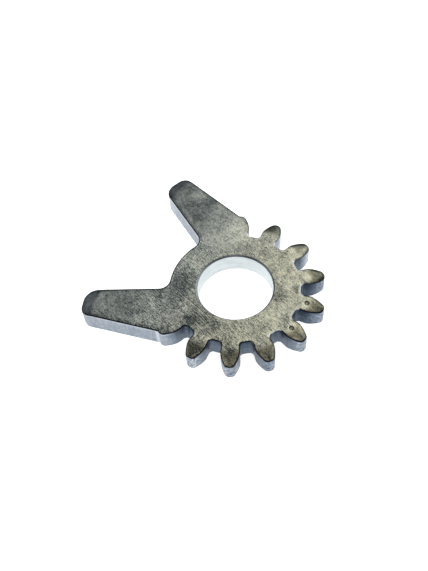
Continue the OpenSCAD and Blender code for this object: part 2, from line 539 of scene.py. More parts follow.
@dataclass
class SectorGearPlate:
    """The whole part: a plate with a sector of teeth, a bore and two arms."""

    half_t: float
    bore_r: float
    teeth: ToothForm = ToothForm()
    arm: ArmForm = ArmForm()
    rolls: RolledEdges = RolledEdges()
    punch: PunchMarks = PunchMarks()
    outline_step: float = 0.22
    face_step: float = 0.42
    under_step: float = 1.6
    box_relief: float = 0.02
    face_inset: float = 0.5
    face_rows: int = 3
    under_edge_r: float = 0.1
    wall_levels: tuple[float, ...] = (0, 0.04, 0.12, 0.25, 0.4, 0.55, 0.7, 0.8, 0.9, 1.0)
    fracture_inset: float = 0.03
    fracture_levels: tuple[float, float] = (0.6, 0.9)
    bore_bevel: float = 0.46
    bore_bevel_power: float = 1.35
    bore_land: float = 0.35
    bore_levels: tuple[float, ...] = (0.9, 0.7, 0.4, 0.1)
    bore_spokes: int = 256
    round_steps: int = 6
    front: tuple[float, float] = (0.57, -0.82)
    behind_share: float = 0.4

    def outline(self) -> Array:
        """The closed outline, taken so that the plate lies on its left.

        Teeth and roots from the lower arm round to the upper one, the upper arm, the rear rim and the
        lower arm. It lies a hair inside the solid's outline, so that the plate keeps to its box.

        Returns:
            Plan points, the last of which joins on to the first.
        """
        teeth, arm, step = self.teeth, self.arm, self.outline_step
        side = teeth.side(step)
        tooth = np.concatenate([flipped(side)[1:], side[1:]])
        places = (np.arange(teeth.free_teeth) - (teeth.free_teeth - 1) / 2) * teeth.pitch
        upper = arm.upper(teeth, step)
        rim_start = math.atan2(upper[-1][1], upper[-1][0])
        rim = arc(np.zeros(2), arm.rim_r, rim_start, 2 * math.pi - rim_start, 2 * step)
        path = np.concatenate([
            turned(side, -teeth.end_angle),
            *(turned(tooth, place) for place in places),
            turned(flipped(side)[1:-1], teeth.end_angle),
            upper,
            rim[1:-1],
            flipped(upper),
        ])
        keep = np.linalg.norm(path - np.roll(path, 1, 0), axis=1) > SAME_POINT
        path = path[keep]
        return path + self.inward(path) * self.box_relief

    @staticmethod
    def inward(path: Array) -> Array:
        """Unit vectors across a closed path to its left, from the directions of both neighbours.

        Args:
            path: Points of the path.

        Returns:
            One vector for each point, long enough to keep an offset path parallel at a corner.
        """
        ahead = np.roll(path, -1, 0) - path
        ahead = ahead / np.linalg.norm(ahead, axis=1, keepdims=True)
        mean = ahead + np.roll(ahead, 1, 0)
        mean = mean / np.linalg.norm(mean, axis=1, keepdims=True)
        sharpest = 0.5
        reach = np.clip((mean * ahead).sum(1, keepdims=True), sharpest, 1)
        return np.stack([-mean[:, 1], mean[:, 0]], -1) / reach

    @staticmethod
    def inset_of(points: Array, path: Array) -> Array:
        """Distance of points in from a closed path, below 0 outside it.

        The shortest distance to any straight piece of the path, with its sign from counting how often
        a line towards +X crosses the path.

        Args:
            points: Plan points.
            path: Points of the path.

        Returns:
            Distance at each point.
        """
        start, end = path, np.roll(path, -1, 0)
        way = end - start
        found = []
        for part in np.array_split(points, max(1, len(points) // CHUNK)):
            gap = part[:, None] - start[None]
            share = np.clip((gap * way).sum(-1) / (way**2).sum(-1), 0, 1)
            near = np.sqrt(((gap - share[..., None] * way) ** 2).sum(-1).min(1))
            between = (start[:, 1] > part[:, 1:]) != (end[:, 1] > part[:, 1:])
            rise = np.where(way[:, 1] == 0, 1, way[:, 1])
            crossing = start[:, 0] + gap[..., 1] / rise * way[:, 0] > part[:, :1]
            found.append(np.where((between & crossing).sum(1) % 2, near, -near))
        return np.concatenate(found)

    def grid(self, path: Array, step: float, margin: float) -> Array:
        """Staggered rows of points over the plate, clear of its edges.

        Args:
            path: The outline.
            step: Distance between the points of a row.
            margin: Least distance from the outline and from the bore's land.

        Returns:
            Plan points.
        """
        low, high = path.min(0), path.max(0)
        rows = np.arange(low[1], high[1], step * math.sqrt(3) / 2)
        columns = np.arange(low[0], high[0], step)
        x, y = np.meshgrid(columns, rows)
        x = x + (np.arange(len(rows)) % 2 * step / 2)[:, None]
        points = np.stack([x.ravel(), y.ravel()], -1)
        clear = (self.inset_of(points, path) > margin) & (radius(points) > self.land_r + margin / 2)
        return points[clear]

    @property
    def land_r(self) -> float:
        """Radius at which the flat faces meet the ring round the bore."""
        return self.bore_r + self.bore_bevel + self.bore_land

    def top_face(self, points: Array, inset: Array | float) -> tuple[Array, Marks]:
        """Raises plan points to the top face: the flat face less crowns, end rolls, edge rolls and marks.

        Args:
            points: Plan points.
            inset: Their distances in from the outline.

        Returns:
            Points with their heights, and the values that the face's finish reads.
        """
        crown = self.rolls.crown(points, self.teeth)
        arm_end = self.rolls.arm_end(points, self.arm, self.teeth)
        from_punch = self.punch.distance(points, self.teeth)
        depth = crown + arm_end + self.rolls.edge(inset) + self.punch.drop(from_punch)
        marks = {Mark.EDGE: inset, Mark.CROWN: crown, Mark.ARM_END: arm_end, Mark.PUNCH: from_punch}
        return lifted(points, self.half_t - np.clip(depth, 0, None)), marks

    def tooth_space(self, points: Array) -> Array:
        """How deep in a tooth space outline points lie: 0 at the tips, arms and rear rim, 1 at a root.

        Args:
            points: Points of the outline.

        Returns:
            Share at each point.
        """
        r = radius(points)
        share = np.clip((self.teeth.tip_r - r) / (self.teeth.tip_r - self.teeth.root_r), 0, 1)
        angle = np.abs(np.arctan2(points[:, 1], points[:, 0]))
        return np.where(angle < self.teeth.end_angle, share, 0)

    def triangles(self, loop: Array, ring: Array, inner: Array) -> Array:
        """Delaunay triangles of the plan between an outer loop and the ring round the bore.

        Args:
            loop: Points of the outer loop.
            ring: Points of the ring.
            inner: Points between them.

        Returns:
            Rows of three numbers, counted through loop, ring and inner points, anticlockwise from above.
        """
        points = np.concatenate([loop, ring, inner])
        rows = np.split(np.arange(len(loop) + len(ring)), [len(loop)])
        edges = np.concatenate([np.stack([row, np.roll(row, -1)], -1) for row in rows])
        inside = 1
        made = delaunay_2d_cdt([Vector(p) for p in points.tolist()], edges.tolist(), [], inside, WELD)
        found = np.array(made[2])
        found = found[radius(points[found].mean(1)) > self.land_r]
        a, b, c = (points[found[:, k]] for k in range(3))
        area = (b - a)[:, 0] * (c - a)[:, 1] - (b - a)[:, 1] * (c - a)[:, 0]
        return np.where((area > 0)[:, None], found, found[:, ::-1])

    def edge_rows(self, path: Array, parts: MeshParts) -> tuple[Array, Array]:
        """Top edge, wall and bottom edge: a section carried along the outline.

        The section comes in over the face, turns down through a quarter round, runs down the wall, steps
        in a little where the sheared steel broke, and turns under through a small round. The distance
        from the edge is marked shorter behind than in front, which widens the painted dark reflection along
        the edges behind.

        Args:
            path: The outline.
            parts: Mesh to add to.

        Returns:
            Numbers of the points of the top row and of the bottom row.
        """
        across = self.inward(path)
        behind = np.clip(across @ np.array(self.front), 0, 1)
        turn = np.linspace(0, math.pi / 2, self.round_steps + 1)
        top_insets = np.concatenate([
            np.linspace(self.face_inset, self.rolls.edge_r, self.face_rows, endpoint=False),
            self.rolls.edge_r * (1 - np.sin(turn)),
        ])
        rows = []
        for inset in top_insets:
            top, marks = self.top_face(path + across * inset, inset)
            # Painted dark reflection: the edge line reads this mark, so the line is wider on the edges
            # behind
            marks[Mark.EDGE] = inset * (1 - self.behind_share * behind)
            rows.append(parts.add_points(top, marks))
        edge_z = parts.points[-1][:, 2]
        foot_z = -self.half_t + self.under_edge_r
        space = self.tooth_space(path)
        for level in self.wall_levels:
            inset = self.fracture_inset * smooth_step(level, *self.fracture_levels)
            wall = lifted(path + across * inset, edge_z + (foot_z - edge_z) * level)
            rows.append(parts.add_points(wall, {Mark.SPACE: space, Mark.LEVEL: 1 - level}))
        for angle in turn[1::2]:
            inset = self.fracture_inset + self.under_edge_r * (1 - math.cos(angle))
            under_edge = lifted(path + across * inset, foot_z - self.under_edge_r * math.sin(angle))
            rows.append(parts.add_points(under_edge, {Mark.SPACE: space}))
        rows.append(parts.add_points(lifted(path + across * self.face_inset, -self.half_t), {}))
        parts.add_bands(rows, Zone.WALL, len(top_insets))
        return rows[0], rows[-1]

    def bore_rows(self, parts: MeshParts) -> tuple[Array, Array]:
        """The bore: a section turned about Z.

        The bevel at each end is a superellipse of low power between the bore and the flat face, so that
        it is nearly straight, with soft ends.

        Args:
            parts: Mesh to add to.

        Returns:
            Numbers of the points of the top ring and of the bottom ring.
        """
        turn = np.linspace(0, math.pi / 2, self.round_steps + 1)
        bevel_r = self.bore_r + self.bore_bevel * (1 - np.sin(turn) ** (2 / self.bore_bevel_power))
        bevel_z = self.half_t - self.bore_bevel * (1 - np.cos(turn) ** (2 / self.bore_bevel_power))
        half_r = np.concatenate([[self.land_r], bevel_r, np.full(len(self.bore_levels), self.bore_r)])
        half_z = np.concatenate([[self.half_t], bevel_z, bevel_z[-1] * np.array(self.bore_levels)])
        section_r = np.concatenate([half_r, half_r[::-1]])
        section_z = np.concatenate([half_z, -half_z[::-1]])
        angles = np.linspace(0, 2 * math.pi, self.bore_spokes, endpoint=False)
        far_from_marks = self.punch.patch_r * 4
        rows = []
        for r, z in zip(section_r, section_z):
            marks = {Mark.EDGE: max(0.0, r - self.bore_r), Mark.PUNCH: far_from_marks}
            rows.append(parts.add_points(lifted(polar(r, -angles), z), marks))
        parts.add_bands(rows, Zone.BORE, 1)
        return rows[0], rows[-1]

    def top_points(self, path: Array) -> tuple[Array, Marks]:
        """Points of the top face between its rows: a grid, with rings round the punch marks instead.

        Args:
            path: The outline.

        Returns:
            Points, and the values that the face's finish reads.
        """
        points = self.grid(path, self.face_step, self.face_inset + self.face_step / 2)
        near = self.punch.patch_r + self.face_step / 3
        points = points[self.punch.distance(points, self.teeth) > near]
        points = np.concatenate([points, self.punch.points(self.teeth)])
        inset = self.inset_of(points, path)
        clear = inset > self.face_inset + self.face_step / 3
        return self.top_face(points[clear], inset[clear])

    def mesh_parts(self) -> MeshParts:
        """Puts together edge, bore, top face and underside as one closed surface.

        Returns:
            The parts of the mesh.
        """
        parts = MeshParts()
        path = self.outline()
        loops = self.edge_rows(path, parts)
        rings = self.bore_rows(parts)
        placed = np.concatenate(parts.points)[:, :2]
        under = self.grid(path, self.under_step, self.face_inset + self.under_step / 3)
        faces = (
            (Zone.FACE, *self.top_points(path)),
            (Zone.UNDERSIDE, lifted(under, -self.half_t), {}),
        )
        for (zone, points, marks), loop, ring in zip(faces, loops, rings):
            found = self.triangles(placed[loop], placed[ring], points[:, :2])
            found = found if zone is Zone.FACE else found[:, ::-1]
            numbers = np.concatenate([loop, ring, parts.add_points(points, marks)])
            parts.add_faces(numbers[found], zone)
        return parts

    def build(self, materials: list[bpy.types.Material]) -> bpy.types.Object:
        """Makes the plate and lets it stand for the solid.

        Args:
            materials: Finishes in the order of the zones.

        Returns:
            The plate.
        """
        plate = self.mesh_parts().to_object("gear_plate", materials)
        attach(plate, BODY)
        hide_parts(NODE)
        return plate


@dataclass(frozen=True)
class Value:
    """An output of a node, which sums can be written with. The bar gives the higher of two values."""

    bench: "NodeBench"
    socket: bpy.types.NodeSocket

    def calc(self, operation: str, other: Number = 0.0) -> "Value":
        """Result of one step of arithmetic with another value or a number."""
        return self.bench.value("Math", {0: self, 1: other}, operation=operation)

    __add__ = __radd__ = partialmethod(calc, "ADD")
    __sub__ = partialmethod(calc, "SUBTRACT")
    __mul__ = __rmul__ = partialmethod(calc, "MULTIPLY")
    __or__ = partialmethod(calc, "MAXIMUM")
    __lt__ = partialmethod(calc, "LESS_THAN")
    __abs__ = partialmethod(calc, "ABSOLUTE")

    def __rtruediv__(self, other: float) -> "Value":
        """A number over the value."""
        return self.bench.value("Math", {0: other, 1: self}, operation="DIVIDE")

    def swing(self, weight: Number) -> "Value":
        """How far a tone lies from 0.5, times a weight."""
        return (self - 0.5) * weight

    def spread(self, factor: Number) -> "Value":
        """A tone stretched about 0.5 by a factor and kept from 0 to 1."""
        return self.bench.value("Clamp", {0: self.swing(factor) + 0.5})


@dataclass(frozen=True)
class Fade:
    """Smooth step of a value from at_low, at low and below, to at_high, at high and above."""

    low: float
    high: Number
    at_low: float = 0.0
    at_high: Number = 1.0

    def __call__(self, value: Value) -> Value:
        """The step of a value."""
        span = {"From Min": self.low, "From Max": self.high, "To Min": self.at_low, "To Max": self.at_high}
        return value.bench.value("MapRange", {"Value": value, **span}, interpolation_type="SMOOTHSTEP")


Product = tuple[tuple[str | Mark, Fade], ...]


class NodeBench:
    """Places and joins the nodes of one tree."""

    def __init__(self, tree: bpy.types.NodeTree) -> None:
        """Starts on a tree, which may hold nodes already."""
        self.tree = tree

    def fill(self, target: bpy.types.NodeSocket, given: Given) -> None:
        """Joins a value to an input, or sets the input to a number, a vector or a colour.

        Args:
            target: The input.
            given: What goes into it.
        """
        if isinstance(given, Value):
            self.tree.links.new(given.socket, target)
        else:
            target.default_value = (*given, 1.0) if target.type == "RGBA" else given

    def add(self, kind: str, inputs: Inputs, **settings: object) -> bpy.types.Node:
        """Places a node, sets it and fills its inputs.

        Args:
            kind: Type of the node.
            inputs: What goes into each input, by name or place.
            settings: Properties of the node.

        Returns:
            The node.
        """
        node = self.tree.nodes.new(kind)
        for name, setting in settings.items():
            setattr(node, name, setting)
        for name, given in inputs.items():
            self.fill(node.inputs[name], given)
        return node

    def value(self, kind: str, inputs: Inputs, output: str | int = 0, **settings: object) -> Value:
        """Places a shader node for one of its outputs, the first if none is named."""
        return Value(self, self.add("ShaderNode" + kind, inputs, **settings).outputs[output])

    def blend(self, share: Number, a: Value | Triple, b: Value | Triple, how: str = "MIX") -> Value:
        """Colour a, mixed with or multiplied by colour b to a share."""
        return self.value("Mix", {0: share, 6: a, 7: b}, 2, data_type="RGBA", blend_type=how)

    def ramp(self, value: Value, stops: dict[float, Triple]) -> Value:
        """Colour of a ramp.

        Args:
            value: Place on the ramp, from 0 to 1.
            stops: Linear colours by their places.

        Returns:
            The colour.
        """
        node = self.add("ShaderNodeValToRGB", {0: value})
        elements = node.color_ramp.elements
        while len(elements) < len(stops):
            elements.new(0.5)
        for element, (place, colour) in zip(elements, stops.items()):
            element.position, element.color = place, (*colour, 1.0)
        return Value(self, node.outputs[0])

    def noise(self, vector: Value, scale: Number, detail: Number, **more: float) -> Value:
        """Fractal noise about 0.5."""
        return self.value("TexNoise", {"Vector": vector, "Scale": scale, "Detail": detail, **more})

    def scaled(self, vector: Value, factors: Value | Triple) -> Value:
        """A vector with each part multiplied by a factor."""
        return self.value("VectorMath", {0: vector, 1: factors}, operation="MULTIPLY")

    def toward(self, vector: Value, direction: Triple) -> Value:
        """How far a vector reaches in a direction."""
        return self.value("VectorMath", {0: vector, 1: direction}, "Value", operation="DOT_PRODUCT")

    def parts(self, vector: Value) -> list[Value]:
        """The three parts of a vector."""
        return [Value(self, part) for part in self.add("ShaderNodeSeparateXYZ", {0: vector}).outputs]

    def group(self, tree: bpy.types.NodeTree, vector: Value, **inputs: float) -> Value:
        """Places a node group for its output."""
        return self.value("Group", {"Vector": vector, **inputs}, node_tree=tree)


def new_group(name: str, inputs: dict[str, float], output: str) -> tuple[NodeBench, dict[str, Value]]:
    """Starts a shader node group that works on a Vector.

    Args:
        name: Name of the group.
        inputs: Its further inputs with their defaults.
        output: Its output.

    Returns:
        The group's bench, and its inputs by name.
    """
    tree = bpy.data.node_groups.new(name, "ShaderNodeTree")
    tree.interface.new_socket(name="Vector", in_out="INPUT", socket_type="NodeSocketVector")
    for label, default in inputs.items():
        socket = tree.interface.new_socket(name=label, in_out="INPUT", socket_type="NodeSocketFloat")
        socket.default_value = default
    tree.interface.new_socket(name=output, in_out="OUTPUT", socket_type="NodeSocketFloat")
    bench = NodeBench(tree)
    start = bench.add("NodeGroupInput", {}).outputs
    return bench, {label: Value(bench, start[label]) for label in ("Vector", *inputs)}


class SteelEffects:
    """Shader node groups that the steel's finishes share."""

    def __init__(self) -> None:
        """Builds every group once."""
        self.patches, self.strokes, self.pits = self.make_patches(), self.make_strokes(), self.make_pits()

    @staticmethod
    def make_patches() -> bpy.types.NodeTree:
        """Stained patches with ragged rims: noise warped by itself and stretched about 0.5.

        Returns:
            Group with a Vector in millimetres, a Size, a Contrast and a Detail, which puts out Tone from
            0 to 1.
        """
        bench, given = new_group("stained_patches", {"Size": 5.0, "Contrast": 2.0, "Detail": 4.0}, "Tone")
        scale = 1.0 / given["Size"]
        noise = bench.noise(given["Vector"], scale, given["Detail"], Roughness=0.55, Distortion=0.5)
        bench.add("NodeGroupOutput", {"Tone": noise.spread(given["Contrast"])})
        return bench.tree

    @staticmethod
    def make_strokes() -> bpy.types.NodeTree:
        """Fine parallel strokes: noise stretched along X, broken up by slow noise.

        Returns:
            Group with a Vector whose X runs along the strokes, a Width and a Length in millimetres, which
            puts out Strokes from 0 to 1.
        """
        bench, given = new_group("fine_strokes", {"Width": 0.3, "Length": 12.0}, "Strokes")
        across = 1.0 / given["Width"]
        factors = bench.value("CombineXYZ", {0: 1.0 / given["Length"], 1: across, 2: across})
        fine = bench.noise(bench.scaled(given["Vector"], factors), scale=1.0, detail=1.5)
        breaks = bench.noise(given["Vector"], scale=0.18, detail=2.0)
        contrast = Fade(low=0.35, high=0.6, at_low=1.0, at_high=3.2)(breaks)
        bench.add("NodeGroupOutput", {"Strokes": fine.spread(contrast)})
        return bench.tree

    @staticmethod
    def make_pits() -> bpy.types.NodeTree:
        """Small scattered pits: discs about some of the points of a cell pattern.

        Returns:
            Group with a Vector in millimetres, a Spacing and a Share of cells with a pit, which puts out
            Pits, 1 in a pit and 0 between them.
        """
        bench, given = new_group("scattered_pits", {"Spacing": 1.2, "Share": 0.4}, "Pits")
        widest, soft_rim = 0.26, 0.08
        cell_inputs = {"Vector": given["Vector"], "Scale": 1.0 / given["Spacing"]}
        cells = bench.add("ShaderNodeTexVoronoi", cell_inputs).outputs
        chance, size, _ = bench.parts(Value(bench, cells["Color"]))
        disc = Fade(-soft_rim, soft_rim, 1.0, 0.0)(Value(bench, cells["Distance"]) - size * widest)
        bench.add("NodeGroupOutput", {"Pits": disc * (chance < given["Share"])})
        return bench.tree


class Plan:
    """Where the points of the part lie, in millimetres, and the named layers of tone over them."""

    def __init__(self, bench: NodeBench, effects: SteelEffects) -> None:
        """Takes up the object coordinates.

        Args:
            bench: The material's bench.
            effects: Shared node groups.
        """
        self.bench, self.effects = bench, effects
        self.place = bench.scaled(bench.value("TexCoord", {}, "Object"), (1 / MM, 1 / MM, 1 / MM))
        self.flat = bench.scaled(self.place, (1.0, 1.0, 0.0))
        self.x, self.y, _ = bench.parts(self.place)
        self.layers = {"x": self.x, "y": self.y, "axis": self.away(0.0, 0.0)}

    def mark(self, mark: Mark) -> Value:
        """A value that the mesh carries at its points."""
        return self.bench.value("Attribute", {}, "Fac", attribute_name=mark.value)

    def product(self, fades: Product) -> Value:
        """Product of fades, each over a mark of the mesh, a coordinate or a layer."""
        values = (self.mark(name) if isinstance(name, Mark) else self.layers[name] for name, _ in fades)
        return math.prod(fade(value) for value, (_, fade) in zip(values, fades))

    def away(self, x: float, y: float) -> Value:
        """Distance from a plan point."""
        return self.bench.value("VectorMath", {0: self.flat, 1: (x, y, 0.0)}, "Value", operation="DISTANCE")

    def seen(self, angle: float, x: float = 0.0, y: float = 0.0) -> Value:
        """Coordinates seen from a plan point, with X turned by an angle in radians."""
        inputs = {"Vector": self.place, "Location": (x, y, 0.0), "Rotation": (0.0, 0.0, angle)}
        return self.bench.value("Mapping", inputs, vector_type="TEXTURE")

    def patches(self, **sizes: float) -> Value:
        """Stained patches over the part."""
        return self.bench.group(self.effects.patches, self.place, **sizes)

    def strokes(self, along: Value, **sizes: float) -> Value:
        """Fine strokes along the X of some coordinates."""
        return self.bench.group(self.effects.strokes, along, **sizes)

    def pits(self, **sizes: float) -> Value:
        """Scattered pits over the part."""
        return self.bench.group(self.effects.pits, self.place, **sizes)

    def mix(self, base: Number, **weights: Number) -> Value:
        """A base value plus the swing of named layers, each times its weight."""
        return sum((self.layers[name].swing(weight) for name, weight in weights.items()), base)


@dataclass(frozen=True)
class Surface:
    """How a finish varies from place to place."""

    colour: Value
    rough: Value
    height: Value


class SteelFinish:
    """A finish of bare steel. Each kind of it says how it varies over the part."""

    name: ClassVar[str]
    bump_strength: ClassVar[float] = 0.3
    bump_height: ClassVar[float] = 0.03

    def surface(self, plan: Plan) -> Surface:
        """Works out the finish from where the points of the part lie."""
        raise NotImplementedError

    def make(self, effects: SteelEffects) -> bpy.types.Material:
        """Builds the material.

        Args:
            effects: Shared node groups.

        Returns:
            The material.
        """
        material = bpy.data.materials.new(self.name)
        material.use_nodes = True
        bench = NodeBench(material.node_tree)
        found = self.surface(Plan(bench, effects))
        relief = {"Height": found.height, "Strength": self.bump_strength, "Distance": self.bump_height * MM}
        made = {"Base Color": found.colour, "Roughness": found.rough, "Normal": bench.value("Bump", relief)}
        shader = material.node_tree.nodes["Principled BSDF"]
        for name, given in {"Metallic": 1.0, **made}.items():
            bench.fill(shader.inputs[name], given)
        return material


@dataclass(frozen=True)
class StainAndHighlight:
    """A soft round stain on the face, darker than its surroundings where the strength is above 0 and
    lighter below 0; some of the lighter ones are painted highlights.
    """

    x: float
    y: float
    r: float
    strength: float

    def tone(self, plan: Plan) -> Value:
        """Tone to take from the face: a smooth fall from the middle to the rim."""
        return Fade(0.0, self.r, self.strength, 0.0)(plan.away(self.x, self.y))


@dataclass(frozen=True)
class Scratch:
    """A thin straight scratch on the face, from a plan point along an angle in degrees."""

    x: float
    y: float
    angle: float
    length: float
    width: float
    strength: float
    fade_start: ClassVar[float] = 0.3

    def tone(self, plan: Plan) -> Value:
        """Tone to take from the face: a soft-edged strip that fades towards its ends.

        Args:
            plan: Where the points of the part lie.

        Returns:
            The tone.
        """
        along, across, _ = plan.bench.parts(plan.seen(math.radians(self.angle), self.x, self.y))
        half = self.length / 2
        strip = Fade(0.0, self.width, self.strength, 0.0)(abs(across))
        return strip * Fade(self.fade_start * self.length, half, 1.0, 0.0)(abs(along - half))


@dataclass(frozen=True)
class GroundFace(SteelFinish):
    """Top face: ground once, then stained, with a dark tint where the edges roll over, partly unground
    steel and partly painted darker reflection.

    Fades over x and y are in millimetres, and those over the marks of the mesh in the marks' units.
    """

    name: ClassVar[str] = "ground_face"
    # Colours by tone, and what tints or covers them
    tones: ClassVar[dict[float, Triple]] = {
        0.0: (0.045, 0.054, 0.052),
        0.35: (0.190, 0.205, 0.180),
        0.6: (0.350, 0.352, 0.300),
        1.0: (0.680, 0.680, 0.540),
    }
    cool: Triple = (0.95, 0.99, 1.07)
    warm: Triple = (1.00, 0.99, 0.95)
    warm_side: Fade = Fade(-16.0, 6.0)
    # crown_tint, upper_crown_tint and end_tint darken the rolled crowns and arm ends: partly unground
    # steel, partly painted darker reflection
    crown_tint: Triple = (0.52, 0.49, 0.43)
    upper_crown_tint: Triple = (0.50, 0.50, 0.48)
    upper_crowns: Fade = Fade(15.0, 20.0)
    end_tint: Triple = (0.36, 0.37, 0.43)
    # punch is painted shade in the punch dimples: dark round the rim, lighter in the middle
    punch: Triple = (0.030, 0.030, 0.024)
    punched: Product = (
        (Mark.PUNCH, Fade(0.62, 0.80, 1.0, 0.0)),
        (Mark.PUNCH, Fade(0.2, 0.5, 0.62, 1.0)),
    )
    # Where crowns and arm ends count as rolled, and the upper arm as smooth
    crown_rise: Fade = Fade(0.01, 0.18)
    end_start: float = 0.005
    end_full: Fade = Fade(-10.0, 10.0, 0.05, 0.10)
    upper_arm: Product = (("x", Fade(-8.0, -18.0)), ("y", Fade(6.0, 13.0, 0.0, 0.7)))
    # Weights of strokes, specks and pits, calm on the arms, with specks and pits about one spot
    stroke_angle: float = math.radians(-20)
    arm_calm: Product = (("x", Fade(-26.0, -15.0, 0.54, 1.0)),)
    stroke_weight: Product = (
        *arm_calm,
        ("y", Fade(14.0, -4.0, 0.36, 0.62)),
        ("smooth", Fade(0.0, 1.0, 1.0, 0.3)),
    )
    lower_left: Triple = (-0.6, -0.8, 0.0)
    pitted_spot: tuple[float, float] = (2.5, 14.5)
    pitted: Product = (("spot", Fade(2.0, 8.0, 1.3, 1.0)),)
    speck_weight: Product = (
        *arm_calm,
        *pitted,
        ("lower_left", Fade(-12.0, 6.0, 0.46, 0.64)),
        ("large", Fade(0.1, 0.9, 0.8, 1.25)),
    )
    pit_weight: Product = (*pitted, ("large", Fade(0.35, 0.65, 0.85, 0.28)))
    crown_specks: Fade = Fade(4.0, 12.0, 0.8, 0.4)
    # Circle that the tooth roots lie on
    near_root: Product = (("axis", Fade(16.4, 17.2)), ("axis", Fade(17.6, 18.5, 1.0, 0.0)))
    base_tone: float = 0.575
    shades: tuple[Product, ...] = (
        # Lower side, and the length of the part
        (("y", Fade(-1.0, -10.0, 0.0, -0.06)),),
        (("x", Fade(-34.0, 24.0, -0.16, 0.12)),),
        # Painted dark reflection on the rims of the arms and crowns
        ((Mark.EDGE, Fade(0.3, 1.4, -0.20, 0.0)), ("x", Fade(-8.0, -1.0, 1.0, 0.0))),
        (
            (Mark.EDGE, Fade(0.3, 1.2, -0.30, 0.0)),
            (Mark.CROWN, Fade(0.08, 0.3)),
            ("y", Fade(4.0, 12.0, 0.35, 1.0)),
        ),
        # Painted highlight: a bright strip by the tooth roots
        (
            *near_root,
            (Mark.EDGE, Fade(0.36, 0.48)),
            (Mark.EDGE, Fade(0.62, 0.95, 1.0, 0.0)),
            ("middle", Fade(0.1, 0.7, 0.14, 0.42)),
        ),
    )
    # Painted dark reflection along the edges as a dark line, fainter at high y except on the arms, and a
    # painted highlight in its place by some roots
    line: Triple = (0.010, 0.011, 0.014)
    line_w: Fade = Fade(0.21, 0.37, 1.0, 0.0)
    line_top: Fade = Fade(6.0, 17.0, 1.0, 0.45)
    line_arms: Fade = Fade(-2.0, -8.0)
    # Painted highlight: a pale colour that takes the place of the dark line by the roots on the right and
    # at the top
    rubbed: Triple = (0.60, 0.64, 0.68)
    rubbed_share: float = 0.4
    rubbed_right: Fade = Fade(11.0, 14.5)
    rubbed_top: Fade = Fade(7.0, 11.0)
    stains_and_highlights: tuple[StainAndHighlight, ...] = (
        # Upper arm, from its end
        StainAndHighlight(-32.5, 22.8, 5.0, 0.16),
        StainAndHighlight(-30.6, 18.6, 2.4, 0.26),
        StainAndHighlight(-28.0, 21.5, 3.4, 0.20),
        StainAndHighlight(-27.4, 24.4, 3.4, 0.17),
        StainAndHighlight(-25.0, 18.5, 3.6, 0.18),
        StainAndHighlight(-22.0, 17.8, 5.5, 0.21),
        StainAndHighlight(-20.8, 14.8, 2.6, 0.22),
        StainAndHighlight(-20.7, 21.7, 4.2, 0.24),
        StainAndHighlight(-12.0, 10.5, 4.5, -0.30),
        # Lower arm, from its end
        StainAndHighlight(-32.0, -22.6, 6.0, -0.22),
        StainAndHighlight(-27.0, -20.5, 4.0, -0.12),
        StainAndHighlight(-11.2, -8.8, 4.6, 0.27),
        StainAndHighlight(-9.5, -19.5, 3.0, 0.13),
        # Ring, anticlockwise from the left
        StainAndHighlight(-13.5, 1.5, 2.6, -0.12),
        StainAndHighlight(-13.0, -4.5, 5.0, 0.42),
        StainAndHighlight(-4.8, -14.4, 4.0, 0.38),
        StainAndHighlight(0.6, -13.2, 4.0, 0.38),
        StainAndHighlight(6.0, -16.2, 3.4, 0.18),
        StainAndHighlight(10.0, -7.9, 2.2, 0.20),
        StainAndHighlight(13.4, -3.4, 3.4, -0.19),
        StainAndHighlight(16.7, -2.1, 2.6, 0.42),
        StainAndHighlight(11.7, 2.4, 3.0, 0.50),
        StainAndHighlight(10.6, 4.8, 1.8, 0.24),
        StainAndHighlight(14.6, 6.8, 2.0, 0.40),
        StainAndHighlight(10.4, 9.6, 6.0, -0.12),
        StainAndHighlight(0.0, 15.6, 2.6, -0.10),
        StainAndHighlight(-5.6, 12.6, 1.6, 0.16),
        StainAndHighlight(-7.5, 12.0, 3.0, -0.15),
        StainAndHighlight(-8.8, 16.4, 6.8, -0.29),
        # Teeth, from the upper arm to the lower; the light ones at (1.4, 19.8), (7.4, 17.4) and (15.4,
        # 11.7), at the bases of the upper crowns, and at (18.9, 3.4) and (18.8, -5.2), beside the punch
        # marks, are painted highlights
        StainAndHighlight(-1.4, 22.6, 3.4, 0.56),
        StainAndHighlight(1.4, 19.8, 2.0, -0.10),
        StainAndHighlight(6.4, 19.4, 2.0, 0.80),
        StainAndHighlight(8.2, 21.3, 2.6, 0.80),
        StainAndHighlight(7.4, 17.4, 2.0, -0.24),
        StainAndHighlight(15.4, 11.7, 1.8, -0.30),
        StainAndHighlight(15.2, 16.0, 2.6, 0.60),
        StainAndHighlight(17.0, 14.2, 3.0, 0.20),
        StainAndHighlight(18.6, 13.2, 2.8, 0.30),
        StainAndHighlight(18.9, 3.4, 1.4, -0.48),
        StainAndHighlight(20.6, 7.9, 2.0, 0.45),
        StainAndHighlight(21.8, 5.2, 3.2, 0.44),
        StainAndHighlight(18.8, -5.2, 1.4, -0.48),
        StainAndHighlight(21.8, -5.0, 3.0, 0.20),
        StainAndHighlight(14.6, -11.6, 2.0, 0.26),
        StainAndHighlight(17.0, -13.8, 3.2, 0.22),
        StainAndHighlight(8.4, -17.4, 2.4, 0.30),
        StainAndHighlight(9.2, -19.4, 3.4, 0.10),
        StainAndHighlight(0.3, -21.3, 3.8, 0.50),
    )
